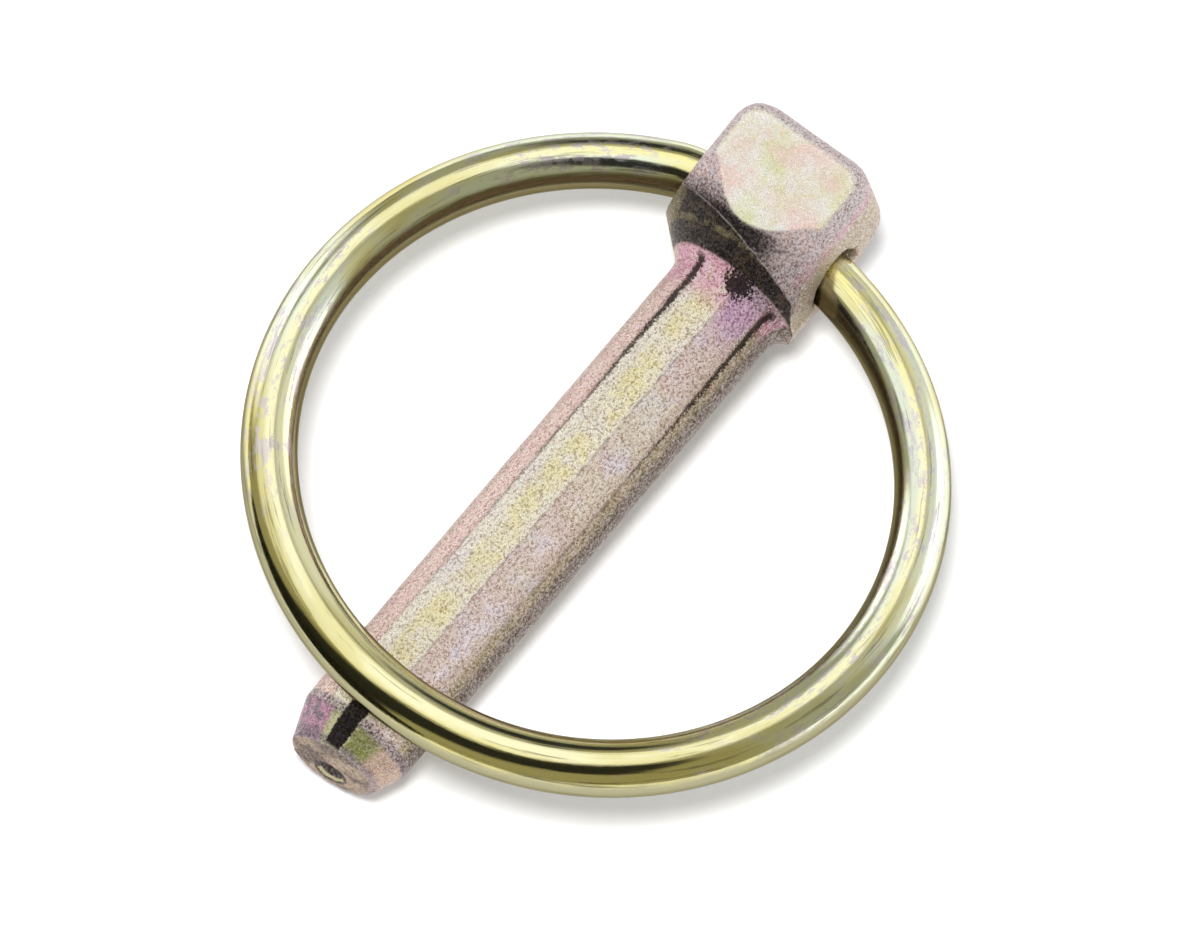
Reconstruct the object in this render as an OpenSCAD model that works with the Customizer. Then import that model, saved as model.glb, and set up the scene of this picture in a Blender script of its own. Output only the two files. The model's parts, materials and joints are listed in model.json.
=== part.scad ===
// Linch pin: a forged pin with a cross-bored head, and a sprung wire ring that swings in the bore.
// The pin's own axis runs along +X from the underside of the head towards the point.
// The origin is on that axis where the straight shank starts, at the end of the neck's fillet.
// The whole part is turned about Y so that it lies as it comes to rest, with +Z up.

/* [Shank] */
// Diameter of the shank
shank_d = 11; // [8:0.5:14]
// Length from the head's underside to the start of the chamfered point
shank_len = 51.8; // [44:0.2:70]
// Radius of the fillet that runs from the shank into the head's underside
neck_r = 2; // [0.5:0.25:3]
// How far that fillet widens the shank where it meets the head
neck_rise = 0.8; // [0.3:0.1:1.5]
// How far the shank's end is drawn in beyond the ring's seat
drawn_in = 0.05; // [0.02:0.01:0.2]

/* [Point] */
// Length of the chamfered point, measured on the axis
point_len = 3.3; // [2:0.1:5]
// Diameter of the point's end face
point_d = 8.3; // [6:0.1:10]
// Lean of the sheared end face away from square
shear_angle = 9.5; // [0:0.5:12]
// Direction round the axis in which the sheared end face leans
shear_turn = 130; // [0:5:355]
// Diameter of the dimple in the end face
dimple_d = 3.2; // [1.5:0.1:4]
// Diameter of the dimple's floor
dimple_floor_d = 0.8; // [0.4:0.1:2]
// Depth of the dimple
dimple_depth = 0.8; // [0.3:0.1:1.2]
// Distance of the dimple below the shank's axis
dimple_drop = 1.7; // [0:0.1:2.5]

/* [Head] */
// Length of the head along the pin, at the parting line
head_len = 15; // [12.5:0.1:20]
// Height of the head between its two flats
head_h = 18.1; // [15:0.1:24]
// Width of the head at the parting line, half way up
head_w = 15.9; // [13:0.1:20]
// Width of each flat, between the rounded long edges
flat_w = 9.5; // [6:0.1:12]
// Radius of the long edges beside each flat
edge_r = 2.1; // [1:0.1:3]
// How far the far end leans in from the parting line to each flat
end_inset = 0.8; // [0.2:0.1:1.5]
// Radius of the far end's two upright corners
end_corner_r = 2.6; // [0.8:0.1:4]
// Radius of the far end's upper and lower edges
end_edge_r = 1; // [0.5:0.1:2.5]
// Width of the flash band along the parting line
flash_w = 0.6; // [0.3:0.1:1.5]
// Sideways offset of the head from the shank's axis
head_offset = -1.3; // [-2:0.05:2]
// Angle by which the head is turned about the upright axis, off square to the shank
head_skew = 1.75; // [-2:0.25:2]

/* [Underside of the head] */
// Slope of the collar's cone round the neck, as length along the pin for each unit of radius
collar_slope = 0.85; // [0.5:0.05:1.5]
// Radius of the head's crown at its front
crown_front_r = 8.6; // [7.5:0.1:9]
// Distance behind the head's underside at which the crown has that radius
crown_start = 1.95; // [1:0.05:3]
// Radius of the crown at its shoulder
crown_r = 9.8; // [9.2:0.1:10.4]
// Radius to which the crown runs out along the head's long edges
crown_back_r = 11; // [10.4:0.1:13]
// Length along the pin of the crown's front cone and of the run-out behind it, each
crown_len = 3; // [2:0.1:4]

/* [Cross bore] */
// Diameter of the bore through the head for the ring
bore_d = 6.3; // [5.6:0.1:8]
// Distance of the bore's axis behind the head's underside
bore_setback = 6.8; // [5.5:0.1:9]

/* [Ring] */
// Diameter of the ring's wire
wire_d = 5; // [3.5:0.1:5.5]
// Distance from the bore's axis to the far side of the ring, at the wire's centre
ring_reach = 56.1; // [54:0.1:75]
// Angle through which the left half bends to enter the bore
left_turn = 27; // [10:1:35]
// Angle through which the right half bends to enter the bore
right_turn = 5; // [2:1:35]
// How much the drawing-down at each bend thins the wire
bend_thinning = 0.01; // [0.01:0.01:0.1]
// Sideways offset of the ring's middle from the shank's axis
ring_offset = 2.2; // [-2:0.1:3]
// Radius of the bend where the left half turns into the bore
left_bend_r = 8; // [6:0.5:12]
// Radius of the bend where the right half turns into the bore
right_bend_r = 20; // [10:0.5:24]
// How far the left end sits beyond the bore's axis, which gives the ring its snap
end_stagger = 0.3; // [0:0.05:0.4]
// Gap between the closed ring and the shank
rest_gap = 0.25; // [0.1:0.05:1]
// Gap between the two wire ends inside the bore
end_gap = 2; // [0.5:0.1:4]

/* [Hidden] */
shank_r = shank_d / 2;
wire_r = wire_d / 2;
point_x = shank_len + point_len;
overrun = 1;
lap_angle = 1;
lap_len = 0.1;

// The closed ring rises from the bore until its far side passes over the shank.
ring_rise = asin((shank_r + wire_r + rest_gap) / ring_reach);

function arc(x, y, r, from, to, steps = 8) =
    [for (i = [0:steps]) let (a = from + (to - from) * i / steps) [x + r * cos(a), y + r * sin(a)]];

// The straight shank ends at the near side of the closed ring, which is where a part held by it ends.
seat_x = ring_reach * cos(ring_rise) - bore_setback - wire_r;
chamfer_slope = (shank_r - drawn_in - point_d / 2) / point_len;
overrun_r = point_d / 2 - chamfer_slope * overrun;

// Half outline of the shank, as [radius, distance along the pin], with the neck's fillet as an arc.
neck_angle = acos(1 - neck_rise / neck_r);
neck_len = neck_r * sin(neck_angle);
shank_outline = concat(
    [[0, -overrun], [shank_r + neck_rise, -overrun]],
    arc(shank_r + neck_r, neck_len, neck_r, 180 + neck_angle, 180),
    [[shank_r, seat_x], [shank_r - drawn_in, shank_len]],
    [[overrun_r, point_x + overrun], [0, point_x + overrun]]);

// The collar is a cone round the shank's axis. The crown that rounds the head's corners is turned
// round the head's own axis. Both outlines are [radius, distance along the pin].
collar_r = shank_r + neck_rise;
blank_r = norm([head_w, head_h]) / 2 + abs(head_offset);
blank_end = -head_len - overrun;
collar_outline = [[0, 0], [collar_r, 0], [blank_r, (collar_r - blank_r) * collar_slope],
    [blank_r, blank_end], [0, blank_end]];
crown_outline = [[0, 0], [crown_front_r, 0], [crown_front_r, -crown_start],
    [crown_r, -crown_start - crown_len], [crown_back_r, -crown_start - 2 * crown_len],
    [crown_back_r, blank_end], [0, blank_end]];

// The head's flat ends this far behind its underside, where its height reaches the crown's cone.
front_x = crown_start + (head_h / 2 - crown_front_r) / (crown_r - crown_front_r) * crown_len;

// The straight line under the head's flat and the shank's end decides how the part lies.
rest_tilt = atan((head_h / 2 - shank_r) / (shank_len + front_x));

module along_pin() rotate([0, 90, 0]) children();

// From the pin's own frame, measured from the head's underside, to the frame in which it lies.
module as_it_lies() rotate([0, rest_tilt, 0]) translate([-neck_len, 0, 0]) children();

// The head's sides lean in from the flash band to the rounded long edges.
rise = head_h / 2 - edge_r - flash_w / 2;
run = (head_w - flat_w) / 2;
side_lean = atan(run / rise) - asin(edge_r / norm([run, rise]));
side_reach = head_w / 2 * cos(side_lean) + flash_w / 2 * sin(side_lean);

module head_section() hull() {
    for (side = [-1, 1], up = [-1, 1])
        translate([side * flat_w / 2, up * (head_h / 2 - edge_r)]) circle(r = edge_r, $fn = 64);
    square([head_w, flash_w], center = true);
}

// The far end seen from the side, drawn in from the flash band to each flat.
module end_outline() hull() {
    for (up = [-1, 1])
        translate([end_inset + end_edge_r - head_len, up * (head_h / 2 - end_edge_r)])
            circle(r = end_edge_r, $fn = 64);
    translate([-head_len, -flash_w / 2]) square([overrun, flash_w]);
    translate([0, -head_h / 2]) square([overrun, head_h]);
}

// A block with one rounded upright corner, which leans in with the head's side. It trims that corner.
module corner_block(lean) rotate([lean, 0, 0]) linear_extrude(2 * head_h, center = true) {
    translate([end_corner_r - head_len, side_reach - end_corner_r]) circle(r = end_corner_r, $fn = 64);
    translate([end_corner_r - head_len, side_reach - 2 * head_w]) square([head_len, 2 * head_w]);
    translate([-head_len, side_reach - end_corner_r - 2 * head_w]) square([head_len, 2 * head_w]);
}

module head_block() intersection() {
    translate([-head_len, 0, 0]) rotate([90, 0, 90]) linear_extrude(head_len) head_section();
    rotate([90, 0, 0]) linear_extrude(2 * head_w, center = true) end_outline();
    along_pin() rotate_extrude($fn = 96) polygon(crown_outline);
    corner_block(side_lean);
    corner_block(-side_lean);
    mirror([0, 1, 0]) corner_block(side_lean);
    mirror([0, 1, 0]) corner_block(-side_lean);
}

module head() intersection() {
    translate([0, head_offset, 0]) rotate([0, 0, head_skew]) head_block();
    along_pin() rotate_extrude($fn = 96) polygon(collar_outline);
}

// The end face is sheared a little off square, and the dimple lies below its middle.
module sheared_end() translate([point_x, 0, 0]) rotate([shear_turn, 0, 0])
    rotate([0, shear_angle, 0]) rotate([-shear_turn, 0, 0]) children();

module shank() difference() {
    along_pin() rotate_extrude($fn = 96) polygon(shank_outline);
    sheared_end() translate([0, -shank_d, -shank_d]) cube(2 * shank_d);
    sheared_end() translate([-dimple_depth, 0, -dimple_drop]) along_pin()
        cylinder(d1 = dimple_floor_d, d2 = dimple_d, h = dimple_depth, $fn = 48);
}

module pin() color("#b9b08d") as_it_lies() difference() {
    union() {
        head();
        shank();
    }
    translate([-bore_setback, head_offset, 0]) rotate([90, 0, 0])
        cylinder(d = bore_d, h = 2 * head_w, center = true, $fn = 64);
}

// One half of the ring in its own plane: X runs from the bore to the far side, Y out to this half's side.
// The bend and the straight end are each a trace thinner, and run a little way into the piece before.
module ring_half(turn, bend_r, stub_x, end_y) {
    arc_r = (ring_reach - stub_x - bend_r * (1 - cos(turn))) / (1 + cos(turn));
    bend_y = (arc_r - bend_r) * sin(turn);
    translate([ring_reach - arc_r, 0, 0])
        wire_arc(wire_d, arc_r, 0, 180 - turn);
    translate([stub_x + bend_r, bend_y, 0])
        wire_arc(wire_d - bend_thinning, bend_r, 180 - turn - lap_angle, turn + lap_angle);
    translate([stub_x, end_y, 0]) rotate([-90, 0, 0])
        cylinder(d = wire_d - 2 * bend_thinning, h = bend_y - end_y + lap_len, $fn = 48);
}

// Wire of diameter d bent to radius r, from a starting angle through a sweep.
module wire_arc(d, r, start, sweep) rotate([0, 0, start])
    rotate_extrude(angle = sweep, $fn = 128) translate([r, 0]) circle(d = d, $fn = 48);

module ring() color("#cfcf7a") as_it_lies() translate([-bore_setback, 0, 0])
    rotate([0, -ring_rise, 0]) translate([0, ring_offset, 0]) {
        ring_half(right_turn, right_bend_r, 0, head_offset - ring_offset + end_gap / 2);
        mirror([0, 1, 0])
            ring_half(left_turn, left_bend_r, -end_stagger, ring_offset - head_offset + end_gap / 2);
    }

pin();
ring();
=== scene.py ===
import json
import math
import bpy
from mathutils import Matrix, Vector, noise


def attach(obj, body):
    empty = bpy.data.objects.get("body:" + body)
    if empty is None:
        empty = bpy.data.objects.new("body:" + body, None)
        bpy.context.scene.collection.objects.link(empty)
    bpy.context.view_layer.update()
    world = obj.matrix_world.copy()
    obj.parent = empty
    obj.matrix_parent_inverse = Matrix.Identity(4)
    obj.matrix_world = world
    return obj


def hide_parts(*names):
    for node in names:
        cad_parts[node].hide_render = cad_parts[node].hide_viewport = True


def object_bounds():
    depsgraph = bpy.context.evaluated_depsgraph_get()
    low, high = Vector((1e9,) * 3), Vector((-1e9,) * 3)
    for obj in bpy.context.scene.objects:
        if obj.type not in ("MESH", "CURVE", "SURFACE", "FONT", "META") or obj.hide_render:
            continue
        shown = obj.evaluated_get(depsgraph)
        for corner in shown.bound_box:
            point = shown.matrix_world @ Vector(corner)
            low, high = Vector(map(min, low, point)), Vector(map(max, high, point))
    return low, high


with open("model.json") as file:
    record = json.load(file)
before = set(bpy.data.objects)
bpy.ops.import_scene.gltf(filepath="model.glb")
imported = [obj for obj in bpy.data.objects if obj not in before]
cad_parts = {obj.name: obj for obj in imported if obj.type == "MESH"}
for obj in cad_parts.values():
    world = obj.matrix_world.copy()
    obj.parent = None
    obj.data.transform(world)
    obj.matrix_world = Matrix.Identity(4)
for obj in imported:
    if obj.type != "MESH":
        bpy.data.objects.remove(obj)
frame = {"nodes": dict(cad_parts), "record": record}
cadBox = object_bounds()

scene = bpy.context.scene
mm = 0.001
degrees = math.pi / 180

shankAxis = Vector(frame["record"]["mounts"][0]["axis"])
lieAngle = math.atan2(-shankAxis.z, shankAxis.x)  # the pin lies on its head and its point, so the point dips
neckLength = 1.6  # from the head's underside to the frame's origin, in mm
asItLies = Matrix.Rotation(lieAngle, 4, "Y") @ Matrix.Translation((-neckLength * mm, 0, 0))


# pieces are shaped in the pin's own frame, in mm: X runs from the head's underside to the point, Z is up
def deselectAll():
    bpy.ops.object.select_all(action="DESELECT")


def only(obj):
    deselectAll()
    obj.select_set(True)
    bpy.context.view_layer.objects.active = obj


def named(name):
    made = bpy.context.object
    made.name = made.data.name = name
    return made


def settle(obj, place=None):  # the place goes into the mesh, and the object stays at the origin
    if place is not None:
        obj.matrix_world = place @ obj.matrix_world
    only(obj)
    bpy.ops.object.transform_apply(location=True, rotation=True, scale=True)


def pick(obj, kind, wanted):  # in edit mode: leaves selected just what the test wants
    bpy.ops.mesh.select_all(action="DESELECT")
    bpy.ops.object.mode_set(mode="OBJECT")
    for part in getattr(obj.data, kind):
        part.select = bool(wanted(part))
    bpy.ops.object.mode_set(mode="EDIT")
    bpy.ops.mesh.select_mode(type={"vertices": "VERT", "edges": "EDGE"}[kind])


def renumbered(obj):  # points and faces in a fixed order, so that the booleans give the same result each run
    mesh = obj.data
    spots = [tuple(round(part, 4) + 0.0 for part in vertex.co) for vertex in mesh.vertices]  # and no -0.0
    order = sorted(range(len(spots)), key=lambda i: spots[i])
    numbers = {old: new for new, old in enumerate(order)}
    faces = []
    for polygon in mesh.polygons:
        corners = [numbers[i] for i in polygon.vertices]
        first = corners.index(min(corners))
        faces.append(corners[first:] + corners[:first])
    mesh.clear_geometry()
    mesh.from_pydata([spots[i] for i in order], [], sorted(faces))


def turned(name, stations, sides=96):  # a bar turned on the X axis, from [place along it, radius] stations
    deselectAll()
    start, radius = stations[0]
    bpy.ops.mesh.primitive_circle_add(vertices=sides, radius=radius, fill_type="NGON",
                                      location=(start, 0, 0), rotation=(0, math.pi / 2, 0))
    bar = named(name)
    settle(bar)
    bpy.ops.object.mode_set(mode="EDIT")
    bpy.ops.mesh.select_all(action="SELECT")
    for place, nextRadius in stations[1:]:
        bpy.ops.mesh.extrude_region_move(TRANSFORM_OT_translate={"value": (place - start, 0, 0)})
        factor = nextRadius / radius
        bpy.ops.transform.resize(value=(1, factor, factor), center_override=(place, 0, 0))
        start, radius = place, nextRadius
    bpy.ops.mesh.select_all(action="SELECT")
    bpy.ops.mesh.normals_make_consistent(inside=False)
    bpy.ops.object.mode_set(mode="OBJECT")
    renumbered(bar)
    return bar


def applied(obj, kind, **settings):  # a modifier that is added and applied at once
    only(obj)
    change = obj.modifiers.new(kind.title(), kind)
    for key, value in settings.items():
        setattr(change, key, value)
    bpy.ops.object.modifier_apply(modifier=change.name)


def joined(body, tool, how):  # cuts, fuses or trims the body with the tool, which is used up
    applied(body, "BOOLEAN", operation=how, object=tool, solver="EXACT")
    bpy.data.objects.remove(tool)


class Flow:  # wraps an output socket, so that masks are written as plain maths
    def __init__(self, desk, socket):
        self.desk, self.socket = desk, socket

    def maths(self, operation, other, turned=False):
        values = (other, self) if turned else (self, other)
        return self.desk.node("Math", {"operation": operation}, {0: values[0], 1: values[1]})

    def __add__(self, other): return self.maths("ADD", other)
    def __radd__(self, other): return self.maths("ADD", other, True)
    def __sub__(self, other): return self.maths("SUBTRACT", other)
    def __rsub__(self, other): return self.maths("SUBTRACT", other, True)
    def __mul__(self, other): return self.maths("MULTIPLY", other)
    def __rmul__(self, other): return self.maths("MULTIPLY", other, True)
    def __pow__(self, other): return self.maths("POWER", other)
    def __abs__(self): return self.maths("ABSOLUTE", 0)

    def either(self, other):
        return self.maths("MAXIMUM", other)

    def sway(self, reach):  # a noise's values, moved to both sides of 0
        return (self - 0.5) * reach

    def above(self, low, high):  # 0 below low, 1 above high, smooth between
        return self.desk.node("MapRange", {"interpolation_type": "SMOOTHSTEP"},
                              {"Value": self, "From Min": low, "From Max": high})

    def below(self, low, high):
        return 1 - self.above(low, high)

    def between(self, low, high, soft):
        return self.above(low - soft, low + soft) * self.below(high - soft, high + soft)


class Desk:  # the node tree of one material or of the world
    def __init__(self, owner):
        self.owner = owner
        owner.use_nodes = True
        self.tree = owner.node_tree
        self.tree.nodes.clear()

    def node(self, kind, settings=None, sockets=None, out=0):
        made = self.tree.nodes.new("ShaderNode" + kind)
        for key, value in (settings or {}).items():
            setattr(made, key, value)
        for key, value in (sockets or {}).items():
            if isinstance(value, Flow):
                self.tree.links.new(value.socket, made.inputs[key])
            else:
                if isinstance(value, tuple) and made.inputs[key].type == "RGBA" and len(value) == 3:
                    value = (*value, 1)
                made.inputs[key].default_value = value
        return Flow(self, made.outputs[out]) if made.outputs else None

    def noise(self, place, scale, detail, rough):
        return self.node("TexNoise", {}, {
            "Vector": place, "Scale": scale, "Detail": detail, "Roughness": rough})

    def blend(self, amount, first, second, way="MIX"):
        return self.node("Mix", {"data_type": "RGBA", "blend_type": way},
                         {"Factor": amount, 6: first, 7: second}, out=2)

    def parts(self, vector):
        split = self.node("SeparateXYZ", {}, {"Vector": vector}).socket.node
        return [Flow(self, split.outputs[i]) for i in range(3)]

    def lookedAt(self):  # 1 for what the camera sees, straight or in a mirror or glass: a white background
        path = self.node("LightPath").socket.node
        straight, mirror, glass = (Flow(self, path.outputs["Is " + kind + " Ray"])
                                   for kind in ("Camera", "Glossy", "Transmission"))
        return straight.either(mirror).either(glass)

    def metal(self, colour, roughness, bump, metallic, edgeTint):
        shader = self.node("BsdfPrincipled", {}, {
            "Base Color": colour, "Roughness": roughness, "Normal": bump,
            "Metallic": metallic, "Specular Tint": edgeTint})
        self.node("OutputMaterial", {}, {"Surface": shader})
        return self.owner


def srgb(code):  # a colour as it looks on a screen, from its six hex digits
    parts = [int(code[i:i + 2], 16) / 255 for i in (0, 2, 4)]
    return tuple(c / 12.92 if c <= 0.04045 else ((c + 0.055) / 1.055) ** 2.4 for c in parts)


# the camera's place, in mm, and its three axes, in the pin's own frame, and the metres that it sees
cameraSizes = {"lens": 240, "sensor": 36, "nearest": 0.01, "farthest": 20, "place": (195.6, 151.4, 655.1),
               "right": (-0.6267, 0.7792, -0.0104), "up": (-0.7368, -0.5881, 0.3335),
               "back": (0.2538, 0.2167, 0.9427)}

bpy.ops.object.camera_add()
camera = named("camera")
axes = Matrix([cameraSizes["right"], cameraSizes["up"], cameraSizes["back"]]).transposed().to_4x4()
camera.matrix_world = asItLies @ Matrix.Translation(Vector(cameraSizes["place"]) * mm) @ axes
camera.data.lens, camera.data.sensor_width = cameraSizes["lens"], cameraSizes["sensor"]
camera.data.clip_start, camera.data.clip_end = cameraSizes["nearest"], cameraSizes["farthest"]
scene.camera = camera
scene.view_settings.view_transform = "Standard"

# the table and the lamps, in metres, with the softbox placed from the middle of the object
lightSizes = {"floorSize": 6, "floorColour": 0.88, "floorGlow": 0.14, "sky": 0.5,
              "keyPower": 6.6, "keySize": 0.2, "keyPlace": (0.18, 0.045, 0.83)}

# each panel of the tent hangs at a turn from +X and a height, in degrees, as its reach and soft edge are
tentSizes = {"radius": 1.2, "cloth": (0.36, 0.345, 0.25), "panels": [
    {"at": (265, 70), "reach": 33, "soft": 3, "level": 1.12},
    {"at": (278, 50), "reach": 19, "soft": 5, "level": 1.0},
    {"at": (160, 26), "reach": 30, "soft": 12, "level": 0.75},
    {"at": (146, 14), "reach": 17, "soft": 7, "level": 1.7},
    {"at": (261, 14), "reach": 14, "soft": 7, "level": 1.5},
    {"at": (62, 67), "reach": 11, "soft": 3, "level": 0.025},
    {"at": (45, 57), "reach": 13, "soft": 3, "level": 0.025},
    {"at": (30, 57), "reach": 16, "soft": 3, "level": 0.025},
    {"at": (2, 51), "reach": 19, "soft": 3, "level": 0.025},
    {"at": (345, 38), "reach": 15, "soft": 3, "level": 0.025},
    {"at": (334, 22), "reach": 17, "soft": 3, "level": 0.025},
    {"at": (328, 4), "reach": 21, "soft": 4, "level": 0.025},
    {"at": (206, 25), "reach": 12, "soft": 3, "level": 0.025}]}

flagSizes = {"place": (0.084, -0.031), "turn": 60, "halfWidth": 0.045, "halfHeight": 0.013, "colour": 0.02}

middle = (cadBox[0] + cadBox[1]) / 2
pureWhite = (1.0, 1.0, 1.0)


def onlyReflected(obj):  # a studio aid that nothing but a reflection shows
    obj.visible_camera = obj.visible_diffuse = obj.visible_shadow = obj.visible_transmission = False


deselectAll()
bpy.ops.mesh.primitive_plane_add(size=lightSizes["floorSize"], location=(middle.x, middle.y, cadBox[0].z))
floor = named("floor")
settle(floor)
desk = Desk(bpy.data.materials.new("paleFloor"))
matt = desk.node("BsdfDiffuse", {}, {"Color": (lightSizes["floorColour"],) * 3})
glow = desk.node("Emission", {}, {"Color": pureWhite, "Strength": desk.lookedAt() * lightSizes["floorGlow"]})
desk.node("OutputMaterial", {}, {"Surface": desk.node("AddShader", {}, {0: matt, 1: glow})})
floor.data.materials.append(desk.owner)

scene.world = bpy.data.worlds.new("softRoom")
desk = Desk(scene.world)
plain = desk.node("Background", {}, {"Color": pureWhite, "Strength": lightSizes["sky"]})
bright = desk.node("Background", {}, {"Color": pureWhite, "Strength": 1.0})
mixed = desk.node("MixShader", {}, {0: desk.lookedAt(), 1: plain, 2: bright})
desk.node("OutputWorld", {}, {"Surface": mixed})

deselectAll()
bpy.ops.object.light_add(type="AREA", location=middle + Vector(lightSizes["keyPlace"]))
key = named("softbox")
key.data.shape, key.data.size, key.data.energy = "DISK", lightSizes["keySize"], lightSizes["keyPower"]
key.rotation_euler = (middle - key.location).to_track_quat("-Z", "Y").to_euler()
key.visible_glossy = False  # reflections see the tent instead

deselectAll()  # a tent of light and dark cloth over the table
bpy.ops.mesh.primitive_uv_sphere_add(segments=64, ring_count=32, radius=tentSizes["radius"])
tent = named("tent")
settle(tent)
onlyReflected(tent)
desk = Desk(bpy.data.materials.new("tentCloth"))
way = desk.node("VectorMath", {"operation": "NORMALIZE"}, {0: desk.node("TexCoord", out=3)})
cloth = tentSizes["cloth"]
for panel in tentSizes["panels"]:
    turn, height = (angle * degrees for angle in panel["at"])
    towards = (math.cos(turn) * math.cos(height), math.sin(turn) * math.cos(height), math.sin(height))
    facing = desk.node("VectorMath", {"operation": "DOT_PRODUCT"}, {0: way, 1: towards}, out=1)
    amount = facing.above(math.cos((panel["reach"] + panel["soft"]) * degrees),
                          math.cos((panel["reach"] - panel["soft"]) * degrees))
    cloth = desk.blend(amount, cloth, (panel["level"],) * 3)
desk.node("OutputMaterial", {}, {"Surface": desk.node("Emission", {}, {"Color": cloth, "Strength": 1.0})})
tent.data.materials.append(desk.owner)

deselectAll()  # a round black flag that stands on the table beyond the ring
bpy.ops.mesh.primitive_circle_add(vertices=48, radius=1, fill_type="NGON",
                                  location=(*flagSizes["place"], cadBox[0].z + flagSizes["halfHeight"]),
                                  rotation=(math.pi / 2, 0, flagSizes["turn"] * degrees))
flag = named("blackFlag")
flag.scale = (flagSizes["halfWidth"], flagSizes["halfHeight"], 1)
settle(flag)
onlyReflected(flag)
desk = Desk(bpy.data.materials.new("blackFlag"))
matt = desk.node("BsdfDiffuse", {}, {"Color": (flagSizes["colour"],) * 3})
desk.node("OutputMaterial", {}, {"Surface": matt})
flag.data.materials.append(desk.owner)
print("stage: floor, softbox, tent and flag")


# the forged pin: lengths in mm, and turns in degrees round the shank, from its top towards +Y
pinSizes = {
    "radius": 5.5, "neckRise": 0.8, "neckRadius": 2, "root": 3, "seat": 46.19, "drawnIn": 0.05,
    "chamferStart": 51.8, "point": 55.1, "pointRadius": 4.15, "shearLean": 9.5, "shearTurn": 130,
    "dimpleRadius": 1.6, "dimpleFloor": 0.4, "dimpleDepth": 0.8, "dimpleDrop": 1.7,
    "headLength": 15, "headHeight": 18.1, "headWidth": 15.9, "topWidth": 13.1, "topPull": 0.8,
    "longEdge": 1.8, "cornerEdge": 2.7, "farEdge": 0.8, "headOffset": -1.3, "headSkew": 1.75,
    "crownRadius": 8.6, "crownStart": 1.955, "crownSlope": 0.4,
    "collarRadius": 6.3, "collarFall": 0.85, "collarReach": 8, "boreRadius": 3.15, "boreSetback": 6.8,
    "voxel": 0.215, "softening": 0.5, "softenings": 4,
    "lumps": [{"scale": 0.22, "depth": 0.05}, {"scale": 0.9, "depth": 0.018}], "shankLumps": 0.5, "sunk": 0.02,
    "seams": [{"turn": -30, "depth": 0.12}, {"turn": 53, "depth": 0.12}],
    "seamWidth": 0.3, "seamEnd": 24, "seamWander": 3,
}

shankRadius, neckRadius, point = (pinSizes[key] for key in ("radius", "neckRadius", "point"))
neckTurn = math.acos(1 - pinSizes["neckRise"] / neckRadius)
flare = [(neckRadius * (math.sin(neckTurn) - math.sin(turn)), shankRadius + neckRadius * (1 - math.cos(turn)))
         for turn in (neckTurn * (1 - step / 8) for step in range(9))]
drawnRadius = shankRadius - pinSizes["drawnIn"]
slope = (drawnRadius - pinSizes["pointRadius"]) / (point - pinSizes["chamferStart"])
spare = 1.5  # how far the drawn point runs on before the shear cuts it off
shank = turned("pin_forging", [(-pinSizes["root"], shankRadius + pinSizes["neckRise"]), *flare,
                               (pinSizes["seat"], shankRadius), (pinSizes["chamferStart"], drawnRadius),
                               (point + spare, pinSizes["pointRadius"] - spare * slope)])

shearTurn = Matrix.Rotation(pinSizes["shearTurn"] * degrees, 4, "X")
lean = shearTurn @ Matrix.Rotation(pinSizes["shearLean"] * degrees, 4, "Y") @ shearTurn.transposed()
bpy.ops.object.mode_set(mode="EDIT")
bpy.ops.mesh.select_all(action="SELECT")
bpy.ops.mesh.bisect(plane_co=(point, 0, 0), plane_no=lean @ Vector((1, 0, 0)),
                    use_fill=True, clear_outer=True)
bpy.ops.object.mode_set(mode="OBJECT")
renumbered(shank)

dimple = turned("dimple", [(-pinSizes["dimpleDepth"], pinSizes["dimpleFloor"]), (0, pinSizes["dimpleRadius"]),
                           (1, pinSizes["dimpleRadius"] + 1)], 48)
dropped = Matrix.Translation((0, 0, -pinSizes["dimpleDrop"]))
settle(dimple, Matrix.Translation((point, 0, 0)) @ lean @ dropped)
joined(shank, dimple, "DIFFERENCE")
print("shank: flared neck, drawn point, sheared end and dimple")

# the head starts as a block that is drawn in towards its flats, and laps over the neck
length, height, width = (pinSizes[key] for key in ("headLength", "headHeight", "headWidth"))
lap = 1
deselectAll()
bpy.ops.mesh.primitive_cube_add(size=1, location=((lap - length) / 2, 0, 0),
                                scale=(length + lap, width, height))
head = named("head")
settle(head)
bpy.ops.object.mode_set(mode="EDIT")
bpy.ops.mesh.select_all(action="SELECT")
bpy.ops.mesh.bisect(plane_co=(0, 0, 0), plane_no=(0, 0, 1))
for side in (-1, 1):
    pick(head, "vertices", lambda v: v.co.z * side > 1)
    bpy.ops.transform.resize(value=(1, pinSizes["topWidth"] / width, 1), center_override=(0, 0, 0))
    pick(head, "vertices", lambda v: v.co.z * side > 1 and v.co.x < -2)
    bpy.ops.transform.translate(value=(pinSizes["topPull"], 0, 0))


def edgeFacts(edge):  # where its middle is, and how far it runs each way
    first, second = (head.data.vertices[i].co for i in edge.vertices)
    return (first + second) / 2, second - first


def isLong(edge):  # beside a flat, in line with the shank
    place, run = edgeFacts(edge)
    return abs(place.z) > height * 0.45 and abs(place.y) > width * 0.3 and abs(run.x) > 5


def isCorner(edge):  # from flat to flat, at the back
    place, run = edgeFacts(edge)
    return place.x < -length * 0.8 and abs(place.y) > width * 0.3 and abs(run.z) > 4


def isFar(edge):  # across the back of a flat
    place, run = edgeFacts(edge)
    return place.x < -length * 0.8 and abs(place.z) > height * 0.45 and abs(run.y) > 5


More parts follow.
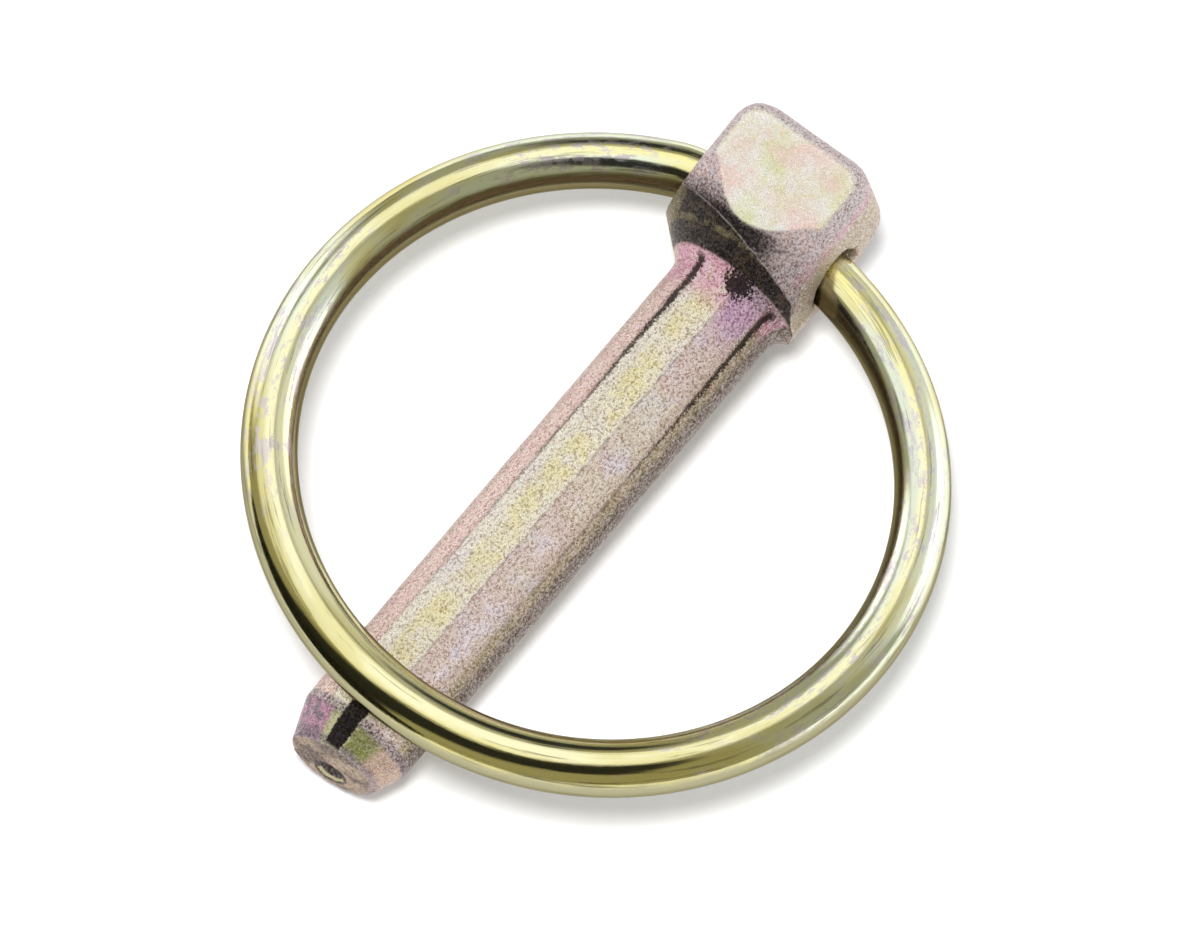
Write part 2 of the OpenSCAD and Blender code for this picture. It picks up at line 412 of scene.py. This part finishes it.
widest = max(pinSizes["longEdge"], pinSizes["cornerEdge"], pinSizes["farEdge"])
for test, size in ((isLong, "longEdge"), (isCorner, "cornerEdge"), (isFar, "farEdge")):
    pick(head, "edges", test)
    bpy.ops.transform.edge_bevelweight(value=pinSizes[size] / widest)
bpy.ops.object.mode_set(mode="OBJECT")
applied(head, "BEVEL", width=widest, segments=6, limit_method="WEIGHT", use_clamp_overlap=False)

# the crown is turned on the head's own axis, and the collar on the shank's
crownStart, crownRadius = pinSizes["crownStart"], pinSizes["crownRadius"]
cone = [(-crownStart - step, crownRadius + pinSizes["crownSlope"] * step) for step in (0, 3, 6)]
crown = turned("crown", [(1, crownRadius), *cone, (-length - 2, cone[-1][1])])
joined(head, crown, "INTERSECT")
skewed = Matrix.Rotation(pinSizes["headSkew"] * degrees, 4, "Z")
settle(head, Matrix.Translation((0, pinSizes["headOffset"], 0)) @ skewed)
brim = pinSizes["collarRadius"] + pinSizes["collarReach"]
fall = pinSizes["collarFall"] * pinSizes["collarReach"]
collar = turned("collar", [(0, pinSizes["collarRadius"]), (-fall, brim), (-length - 3, brim)])
joined(head, collar, "INTERSECT")
joined(shank, head, "UNION")

deselectAll()
bpy.ops.mesh.primitive_cylinder_add(vertices=64, radius=pinSizes["boreRadius"], depth=2 * width,
                                    location=(-pinSizes["boreSetback"], pinSizes["headOffset"], 0),
                                    rotation=(math.pi / 2, 0, 0))
drill = named("drill")
settle(drill)
joined(shank, drill, "DIFFERENCE")
print("head: drawn in, eased, turned at the crown, fused and drilled")

settle(shank, Matrix.Scale(mm, 4))
applied(shank, "REMESH", mode="VOXEL", voxel_size=pinSizes["voxel"] * mm)
applied(shank, "SMOOTH", factor=pinSizes["softening"], iterations=pinSizes["softenings"])

moved = []
for vertex in shank.data.vertices:  # the unevenness that a forging keeps, less of it on the shank
    p = vertex.co / mm
    lump = sum(noise.noise(p * wave["scale"]) * wave["depth"] for wave in pinSizes["lumps"])
    lump *= pinSizes["shankLumps"] if p.x > 0 else 1
    for seam in pinSizes["seams"]:  # two seams that the dies left, deepest at the neck
        wander = noise.noise(Vector((p.x * 0.25, seam["turn"], 0))) * pinSizes["seamWander"]
        turn = math.atan2(p.y, p.z) / degrees - seam["turn"] - wander
        away = abs(turn) * degrees * shankRadius / pinSizes["seamWidth"]
        if away < 1 and -0.5 < p.x < pinSizes["seamEnd"]:
            lump -= seam["depth"] * (1 - away * away) ** 2 * (1 - p.x / pinSizes["seamEnd"])
    moved.extend(vertex.co + vertex.normal * min(0, lump - pinSizes["sunk"]) * mm)
shank.data.vertices.foreach_set("co", moved)
shank.data.update()
settle(shank, asItLies)
bpy.ops.object.shade_smooth()
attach(shank, "pin")
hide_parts("pin")
print("pin:", len(shank.data.polygons), "faces")


# the wire ring: two half circles, each with its own turn and bend into the bore, in mm and degrees
ringSizes = {
    "wireRadius": 2.49, "reach": 56.1, "offset": 2.2, "gap": 2, "setback": 6.8, "rise": 8.45652,
    "right": {"turn": 5, "bend": 20, "stub": 0}, "left": {"turn": 27, "bend": 8, "stub": -0.3},
    "sides": 48, "stepsPerDegree": 0.8, "endEase": 0.4, "endRise": 0.15,
}


def halfCentres(half):  # where the half circle and its bend are turned, from the bore
    turn = half["turn"] * degrees
    radius = (ringSizes["reach"] - half["stub"] - half["bend"] * (1 - math.cos(turn))) / (1 + math.cos(turn))
    return {"arc": ringSizes["reach"] - radius, "radius": radius, "bendX": half["stub"] + half["bend"],
            "bendY": (radius - half["bend"]) * math.sin(turn)}


rightWay, leftWay = halfCentres(ringSizes["right"]), halfCentres(ringSizes["left"])
rightEnd = pinSizes["headOffset"] - ringSizes["offset"] + ringSizes["gap"] / 2
leftEnd = pinSizes["headOffset"] - ringSizes["offset"] - ringSizes["gap"] / 2
deselectAll()
bpy.ops.mesh.primitive_circle_add(vertices=ringSizes["sides"], radius=ringSizes["wireRadius"],
                                  location=(ringSizes["right"]["stub"], rightEnd, 0),
                                  rotation=(math.pi / 2, 0, 0), fill_type="NOTHING")
ring = named("ring_wire")
settle(ring)
bpy.ops.object.mode_set(mode="EDIT")
bpy.ops.mesh.select_all(action="SELECT")


def straight(distance):
    bpy.ops.mesh.extrude_region_move(TRANSFORM_OT_translate={"value": (0, distance, 0)})


def bend(angle, x, y):
    steps = max(3, round(angle * ringSizes["stepsPerDegree"]))
    bpy.ops.mesh.spin(steps=steps, angle=angle * degrees, center=(x, y, 0), axis=(0, 0, 1))


straight(rightWay["bendY"] - rightEnd)
bend(ringSizes["right"]["turn"], rightWay["bendX"], rightWay["bendY"])
bend(180 - ringSizes["right"]["turn"], rightWay["arc"], 0)
bend(180 - ringSizes["left"]["turn"], leftWay["arc"], 0)
bend(ringSizes["left"]["turn"], leftWay["bendX"], -leftWay["bendY"])
straight(leftEnd + leftWay["bendY"])
bpy.ops.mesh.select_all(action="SELECT")
bpy.ops.mesh.remove_doubles(threshold=0.0005)
for end, outwards in ((rightEnd, -1), (leftEnd, 1)):  # each sawn end is closed and eased
    pick(ring, "vertices", lambda v: abs(v.co.y - end) < 0.01 and abs(v.co.x) < 4)
    bpy.ops.mesh.edge_face_add()
    bpy.ops.mesh.inset(thickness=ringSizes["endEase"], depth=0)
    bpy.ops.transform.translate(value=(0, outwards * ringSizes["endRise"], 0))
bpy.ops.mesh.select_all(action="SELECT")
bpy.ops.mesh.normals_make_consistent(inside=False)
bpy.ops.object.mode_set(mode="OBJECT")

# what the finish follows: outwards, up, and along the wire from its farthest point
along = ring.data.attributes.new("alongWire", "FLOAT_VECTOR", "POINT")
for vertex in ring.data.vertices:
    p = vertex.co
    way, half, sign = (rightWay, ringSizes["right"], 1) if p.y > 0 else (leftWay, ringSizes["left"], -1)
    y = p.y * sign
    angle, halfTurn = math.atan2(y, p.x - way["arc"]), half["turn"] * degrees
    arcLength = way["radius"] * (math.pi - halfTurn)
    if angle < math.pi - halfTurn:
        out, run = math.hypot(p.x - way["arc"], y) - way["radius"], way["radius"] * angle
    elif y > way["bendY"]:
        out = math.hypot(p.x - way["bendX"], y - way["bendY"]) - half["bend"]
        run = arcLength + half["bend"] * (angle - math.pi + halfTurn)
    else:
        out, run = half["stub"] - p.x, arcLength + half["bend"] * halfTurn + way["bendY"] - y
    along.data[vertex.index].vector = Vector((out, p.z, run * sign)) * mm

risen = Matrix.Rotation(-ringSizes["rise"] * degrees, 4, "Y")
ringPlace = Matrix.Translation((-ringSizes["setback"], 0, 0)) @ risen @ \
    Matrix.Translation((0, ringSizes["offset"], 0))
settle(ring, asItLies @ Matrix.Scale(mm, 4) @ ringPlace)
bpy.ops.object.shade_smooth()
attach(ring, "ring")
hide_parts("ring")
print("ring:", len(ring.data.polygons), "faces")


# the film of the plating: zones by their turn round the shank, in degrees, and lengths in mm
pinLook = {
    "cream": srgb("FFF7E4"), "straw": srgb("FFF4BC"), "pale": srgb("FFFAF4"), "pink": srgb("E6C4BD"),
    "rose": srgb("EBA6C4"), "mauve": srgb("E6CFC4"), "lilac": srgb("EDE2EC"), "tan": srgb("B29A7C"),
    "brown": srgb("625039"), "olive": srgb("A0946C"), "leaf": srgb("ECF2B8"), "blush": srgb("FFDED4"),
    "violet": srgb("CC9AC4"), "plum": srgb("7E6E78"), "moss": srgb("8A8E4A"), "ash": srgb("CCBEC2"),
    "dusk": srgb("6E5C56"), "scale": srgb("1E1610"), "black": srgb("1C1512"), "pit": srgb("B4A6A4"),
    "glint": srgb("98929A"), "edgeTint": (0.75, 0.7, 0.68), "roughness": 0.33, "metallic": 0.6,
    "grainStrength": 1.0, "grainDepth": 0.27, "stepTurn": 13, "paintedShadeTurn": (66, 110),
    "backTurn": (-150, -120), "shadowReflectionTurn": (-11, 9), "shadowReflectionBefore": 2.4, "spotPlace": 0.5, "spotTurn": 12,
    # how often each noise repeats in a mm, its detail and its roughness
    "broad": (0.16, 3, 0.6), "cloudy": (0.38, 3, 0.6), "patchy": (0.95, 3, 0.65),
    "fine": (3.9, 3, 0.7), "finer": (7.0, 2, 0.7),
}


def pinFinish():
    look = pinLook
    desk = Desk(bpy.data.materials.new("forgedZinc"))
    placed = desk.node("Mapping", {"vector_type": "TEXTURE"}, {
        "Vector": desk.node("TexCoord", out=3), "Rotation": (0.0, lieAngle, 0.0), "Scale": (mm, mm, mm)})
    x, y, z = desk.parts(placed)
    x = x + neckLength
    broad, cloudy, patchy, fine, finer = (desk.noise(placed, *look[name]) for name in (
        "broad", "cloudy", "patchy", "fine", "finer"))
    radius = (y * y + z * z) ** 0.5
    turn = desk.node("Math", {"operation": "ARCTAN2"}, {0: y, 1: z}) * (1 / degrees)
    leftSeam, rightSeam = (seam["turn"] for seam in pinSizes["seams"])
    stepTurn, chamferStart, pointRadius = look["stepTurn"], pinSizes["chamferStart"], pinSizes["pointRadius"]
    wander = patchy.sway(12)
    wavy, jagged = turn + wander, turn + (wander + fine.sway(14))
    rough = turn + (wander + fine.sway(14)) * 0.4
    speck = fine * 0.65 + finer * 0.35
    light, dark = speck.above(0.46, 0.58), speck.below(0.40, 0.51)

    # long zones down the shank: olive below, then pink, cream and mauve, and brown on the far side, which is
    # painted shade
    colour = desk.blend(cloudy.above(0.36, 0.64), look["tan"], look["olive"])
    zone = jagged.below(leftSeam - 2, leftSeam + 4) * wavy.above(*look["backTurn"])
    colour = desk.blend(zone, colour, desk.blend(cloudy.above(0.36, 0.62), look["pink"], look["mauve"]))
    colour = desk.blend(wavy.between(leftSeam - 22, leftSeam - 4, 5) * 0.75, colour, look["blush"])
    colour = desk.blend(wavy.between(leftSeam - 90, leftSeam - 24, 5) * 0.3, colour, look["tan"])
    zone = rough.between(leftSeam, stepTurn, 1.5)
    yellow = jagged.between(-16, 9, 5) * (cloudy + fine.sway(0.3)).above(0.32, 0.6)
    cream = desk.blend(yellow, look["cream"], look["straw"])
    colour = desk.blend(zone, colour, desk.blend(broad.below(0.32, 0.5) * 0.5, cream, look["lilac"]))
    zone = rough.between(stepTurn, rightSeam, 2)
    colour = desk.blend(zone, colour, desk.blend(cloudy.above(0.45, 0.7), look["mauve"], look["lilac"]))
    colour = desk.blend(zone * broad.above(0.5, 0.62) * 0.25, colour, look["leaf"])
    colour = desk.blend(zone * patchy.above(0.54, 0.66) * 0.35, colour, look["pink"])
    besideSeam = (turn + wander * 0.5).between(rightSeam - 11, rightSeam + 3, 5)
    colour = desk.blend(besideSeam * 0.45, colour, look["tan"])
    # painted shade: the far side of the shank, turned from the light, is painted brown
    colour = desk.blend(wavy.between(*look["paintedShadeTurn"], 8) * 0.95, colour, look["brown"])

    # rose and violet where the neck flares, and dusk beside the head as painted shadow
    neck = x.below(1.6, 4.6) * wavy.between(-75, 16, 4)
    colour = desk.blend(neck * (patchy + broad * 0.4).above(0.42, 0.75) * 0.85, colour, look["rose"])
    colour = desk.blend(x.below(3, 7) * wavy.between(15, 46, 5) * 0.85, colour, look["violet"])
    colour = desk.blend(x.below(0.8, 3.4) * wavy.between(46, 70, 5) * 0.75, colour, look["rose"])
    # painted shadow: dusk where the flare meets the head
    colour = desk.blend(x.below(0.2, 1.6) * wavy.between(22, 66, 5) * 0.6, colour, look["dusk"])

    # the head: where its cuts are, then mottled sides with ashen eased edges, and the pale flats
    headY = y - pinSizes["headOffset"] - x * math.sin(pinSizes["headSkew"] * degrees)
    headRadius = (headY * headY + z * z) ** 0.5
    onHead = x.below(-0.35, -0.05)
    collar = radius + x * (1 / pinSizes["collarFall"]) - pinSizes["collarRadius"]
    collar = collar.above(-0.3, -0.12) * onHead
    crown = headRadius + (x + pinSizes["crownStart"]) * pinSizes["crownSlope"] - pinSizes["crownRadius"]
    crown = crown.above(-0.2, -0.06) * (1 - collar) * x.below(-1, -0.8)
    tall, flatHeight = abs(z), pinSizes["headHeight"] / 2
    mottle = desk.blend(broad.above(0.40, 0.62), look["blush"], look["leaf"])
    side = desk.blend(cloudy.above(0.38, 0.62) * 0.8, look["cream"], mottle)
    side = desk.blend(0.62, side, look["tan"])
    side = desk.blend(tall.above(4.5, 7.0) * 0.85, side, look["ash"])
    side = desk.blend(tall.between(5.6, 6.8, 0.5) * patchy.above(0.38, 0.55) * 0.6, side, look["rose"])
    flat = desk.blend(cloudy.above(0.32, 0.66) * 0.9, look["pale"], mottle)
    head = desk.blend(tall.above(flatHeight - 0.6, flatHeight - 0.2), side, flat)

    # the crown is ashen, with painted shade on its low side and a painted shadow line under the flat, and the
    # collar is painted near black as a dark reflection, with a lighter ridge
    rim = desk.blend(patchy.above(0.4, 0.6) * 0.7, look["ash"], look["pink"])
    acrossHead = headY + wander * 0.25
    low = acrossHead.below(1.5, 5)
    # painted shade: the crown darkens towards the collar, most on its low side
    rim = desk.blend(x.above(-5.4, -3.4) * (0.6 + low * 0.4), rim, look["dusk"])
    # painted shadow: a black line under the flat on the low side
    paintedShadowLine = x.above(-4.0, -3.0) * low * (patchy + 0.5).above(0.72, 0.9)
    rim = desk.blend(paintedShadowLine * 0.97, rim, look["black"])
    head = desk.blend(crown, head, rim)
    # painted dark reflection: the collar is near black, with olive towards one side and a lighter ridge
    paintedCollarShade = desk.blend(patchy.above(0.45, 0.66) * 0.4, look["scale"], look["brown"])
    paintedCollarShade = desk.blend(acrossHead.below(-7.2, -5.6) * 0.8, paintedCollarShade, look["olive"])
    ridge = abs(x + 1.8).below(0.1, 0.3) * patchy.above(0.4, 0.55)
    head = desk.blend(collar, head, desk.blend(ridge * 0.45, paintedCollarShade, look["olive"]))
    colour = desk.blend(onHead, colour, head)
    # the painted shadow line and the painted collar, where the glints are held back
    paintedDarkAreas = (paintedShadowLine * crown).either(collar)

    # the chamfer: its film turns from plum to tan, with speckled plum bands at both edges as painted
    # reflections of rounded edges, and a black patch of painted reflection and painted shadow
    onChamfer = x.above(chamferStart - 0.1, chamferStart + 0.2)
    film = desk.blend(patchy.above(0.36, 0.56) * 0.6, look["plum"], look["rose"])
    film = desk.blend(wavy.above(-22, -16), film, desk.blend(0.5, look["olive"], look["leaf"]))
    film = desk.blend(wavy.above(8, 12), film, look["moss"])
    film = desk.blend(wavy.above(34, 44), film, desk.blend(0.35, look["tan"], look["pink"]))
    colour = desk.blend(onChamfer, colour, desk.blend(patchy.above(0.5, 0.62) * 0.3, film, look["dusk"]))
    # painted reflection and painted shadow: a black patch down the chamfer, reaching back to the ring
    paintedShadowAndReflection = (turn + (wander + fine.sway(14)) * 0.35).between(*look["shadowReflectionTurn"], 1)
    paintedShadowAndReflection = paintedShadowAndReflection * x.between(chamferStart - look["shadowReflectionBefore"], point - 0.45, 0.25)
    colour = desk.blend(paintedShadowAndReflection, colour, look["black"])
    # painted reflection: speckled plum bands that stand for the reflections of rounded edges at the chamfer's
    # start and its rim
    rimReflection = abs(radius - pointRadius).below(0.25, 0.5) * x.above(point - 1.6, point - 1.1)
    edgeReflections = x.between(chamferStart - 0.7, chamferStart + 0.25, 0.2).either(rimReflection)
    colour = desk.blend(edgeReflections * (1 - paintedShadowAndReflection) * (0.62 + dark * 0.38), colour, look["plum"])

    # the sheared face: plain, with faint rings, and a dimple painted black as shade, with a painted highlight
    # on its lower wall
    face = x.above(point - 1.2, point - 0.9) * radius.below(pointRadius - 0.35, pointRadius - 0.2)
    rings = desk.node("Math", {"operation": "SINE"}, {0: radius * 7 + patchy * 5}) * 0.5 + 0.5
    colour = desk.blend(face, colour, desk.blend(cloudy.above(0.4, 0.6), look["tan"], look["brown"]))
    colour = desk.blend(face * rings * 0.35, colour, look["dusk"])
    dimpleZ, dimpleRadius = z + pinSizes["dimpleDrop"], pinSizes["dimpleRadius"]
    inDimple = (y * y + dimpleZ * dimpleZ) ** 0.5
    # painted shade in the dimple
    dimpleShade = face * inDimple.below(dimpleRadius - 0.1, dimpleRadius + 0.15)
    colour = desk.blend(dimpleShade * 0.92, colour, look["black"])
    # painted highlight on the dimple's lower wall
    edge = face * abs(inDimple - (dimpleRadius - 0.3)).below(0.06, 0.2) * dimpleZ.below(-0.7, -0.2)
    colour = desk.blend(edge * 0.6, colour, look["straw"])

    # grains: light facets and dark pits, fewer on the chamfer and the flats
    onFlat = onHead * tall.above(flatHeight - 0.55, flatHeight - 0.15) * (1 - crown)
    grain = 1 - onChamfer * 0.5 - onFlat * 0.85
    colour = desk.blend(dark * grain * 0.95, colour, look["pit"], "MULTIPLY")
    colour = desk.blend(light * grain * (1 - paintedDarkAreas.either(paintedShadowAndReflection) * 0.85), colour, look["glint"], "SCREEN")

    # the step between two zones, the seams, which go on as faint lines, and a spot of scale at the neck
    marks = abs(turn - stepTurn + patchy.sway(3.6)).below(0.5, 1.6) * (fine + patchy).above(0.95, 1.15) * 0.5
    for seamTurn in (leftSeam, rightSeam):
        away = abs(turn - seamTurn + patchy.sway(6) + fine.sway(10))
        line = (1.1 - x * 0.05 - away * 0.22 + finer.sway(3.5)).above(0, 0.25)
        faint = away.below(0.8, 2.2) * x.below(30, 46) * (fine + patchy).above(0.9, 1.1) * 0.5
        marks = marks.either(line.either(faint))
    colour = desk.blend(marks * x.between(0.1, chamferStart - 1, 0.2) * 0.92, colour, look["scale"])
    spotX, spotY = x - look["spotPlace"], (turn - look["spotTurn"]) * (pinSizes["radius"] * degrees)
    away = (spotX * spotX * 1.3 + spotY * spotY) ** 0.5
    spot = (away + fine.sway(4)).below(1.0, 1.6) * x.above(-0.5, -0.3)
    colour = desk.blend(spot * 0.95, colour, look["black"])

    bump = desk.node("Bump", {}, {
        "Height": speck, "Strength": look["grainStrength"], "Distance": look["grainDepth"] * mm})
    roughness = look["roughness"] + cloudy.sway(0.2) + dark * 0.12 - light * 0.1
    roughness = roughness - onChamfer * 0.12 + face * 0.15
    return desk.metal(colour, roughness, bump, look["metallic"], look["edgeTint"])


# the film on the wire, with lengths in mm
ringLook = {
    "straw": srgb("F5F1C2"), "gold": srgb("D8CC7C"), "mint": srgb("E7F0DC"), "lilac": srgb("DDD3DB"),
    "butter": srgb("F4EC9E"), "outside": srgb("A4A080"), "inside": srgb("7A7254"), "line": srgb("4A4230"),
    "edgeTint": (0.45, 0.43, 0.38), "roughness": 0.09, "scratchStrength": 0.3, "scratchDepth": 0.05,
    # each noise: how far it is squeezed across and along the wire, its scale, detail and roughness
    "lines": ((1000.0, 1000.0, 30.0), (3.2, 4, 0.65)), "broad": ((300.0, 300.0, 60.0), (1.0, 3, 0.55)),
    "flecks": ((1000.0, 1000.0, 380.0), (1.2, 5, 0.8)),
}


def ringFinish():
    look = ringLook
    desk = Desk(bpy.data.materials.new("drawnZinc"))
    along = desk.node("Attribute", {"attribute_name": "alongWire"}, out=1)
    lines, broad, flecks = (
        desk.noise(desk.node("Mapping", {}, {"Vector": along, "Scale": squeeze}), *pattern)
        for squeeze, pattern in (look["lines"], look["broad"], look["flecks"]))
    out, _, run = desk.parts(along)
    out, run = out * (1 / mm / ringSizes["wireRadius"]), abs(run * (1 / mm))
    uneven = broad.sway(0.5) + lines.sway(0.4) + flecks.sway(0.3)
    wavy = out + uneven

    # the film: straw along the top, gold at the far side, pale on the flanks, and painted shade towards the
    # sides, where the wire reflects the shadowed floor and the shank
    colour = desk.blend((broad * 0.8 + lines * 0.2).below(0.38, 0.5) * 0.5, look["straw"], look["gold"])
    colour = desk.blend(run.above(62, 80) * abs(wavy).below(0.3, 0.5) * 0.8, colour, look["butter"])
    colour = desk.blend(run.below(28, 40) * wavy.above(0.15, 0.45) * 0.7, colour, look["gold"])
    flank = run.between(34, 80, 6) * (wavy.between(0.2, 0.9, 0.12) + wavy.between(-0.78, -0.2, 0.12))
    colour = desk.blend(flank * broad.above(0.36, 0.52) * 0.85, colour, look["mint"])
    patches = flecks.above(0.51, 0.57) * run.between(20, 88, 8) * broad.above(0.40, 0.50)
    colour = desk.blend(patches * 0.8, colour, look["lilac"])
    smooth = out + uneven * 0.4
    # painted shade: the outer and inner sides of the wire are painted dark for their dark reflections
    colour = desk.blend(smooth.above(0.78, 0.95), colour, look["outside"])
    colour = desk.blend(smooth.below(-0.85, -0.66), colour, look["inside"])
    colour = desk.blend(lines.above(0.56, 0.66) * 0.5, colour, look["line"])
    bump = desk.node("Bump", {}, {"Height": lines * 0.7 + flecks * 0.3, "Strength": look["scratchStrength"],
                                  "Distance": look["scratchDepth"] * mm})
    roughness = look["roughness"] + lines * 0.05 + patches * 0.14
    return desk.metal(colour, roughness, bump, 1.0, look["edgeTint"])


shank.data.materials.clear()
shank.data.materials.append(pinFinish())
ring.data.materials.clear()
ring.data.materials.append(ringFinish())
for node in frame["nodes"].values():  # the plain solids wear the same metal
    node.data.materials.clear()
    node.data.materials.append((shank if node.name == "pin" else ring).data.materials[0])
print("finishes: forged zinc and drawn zinc")
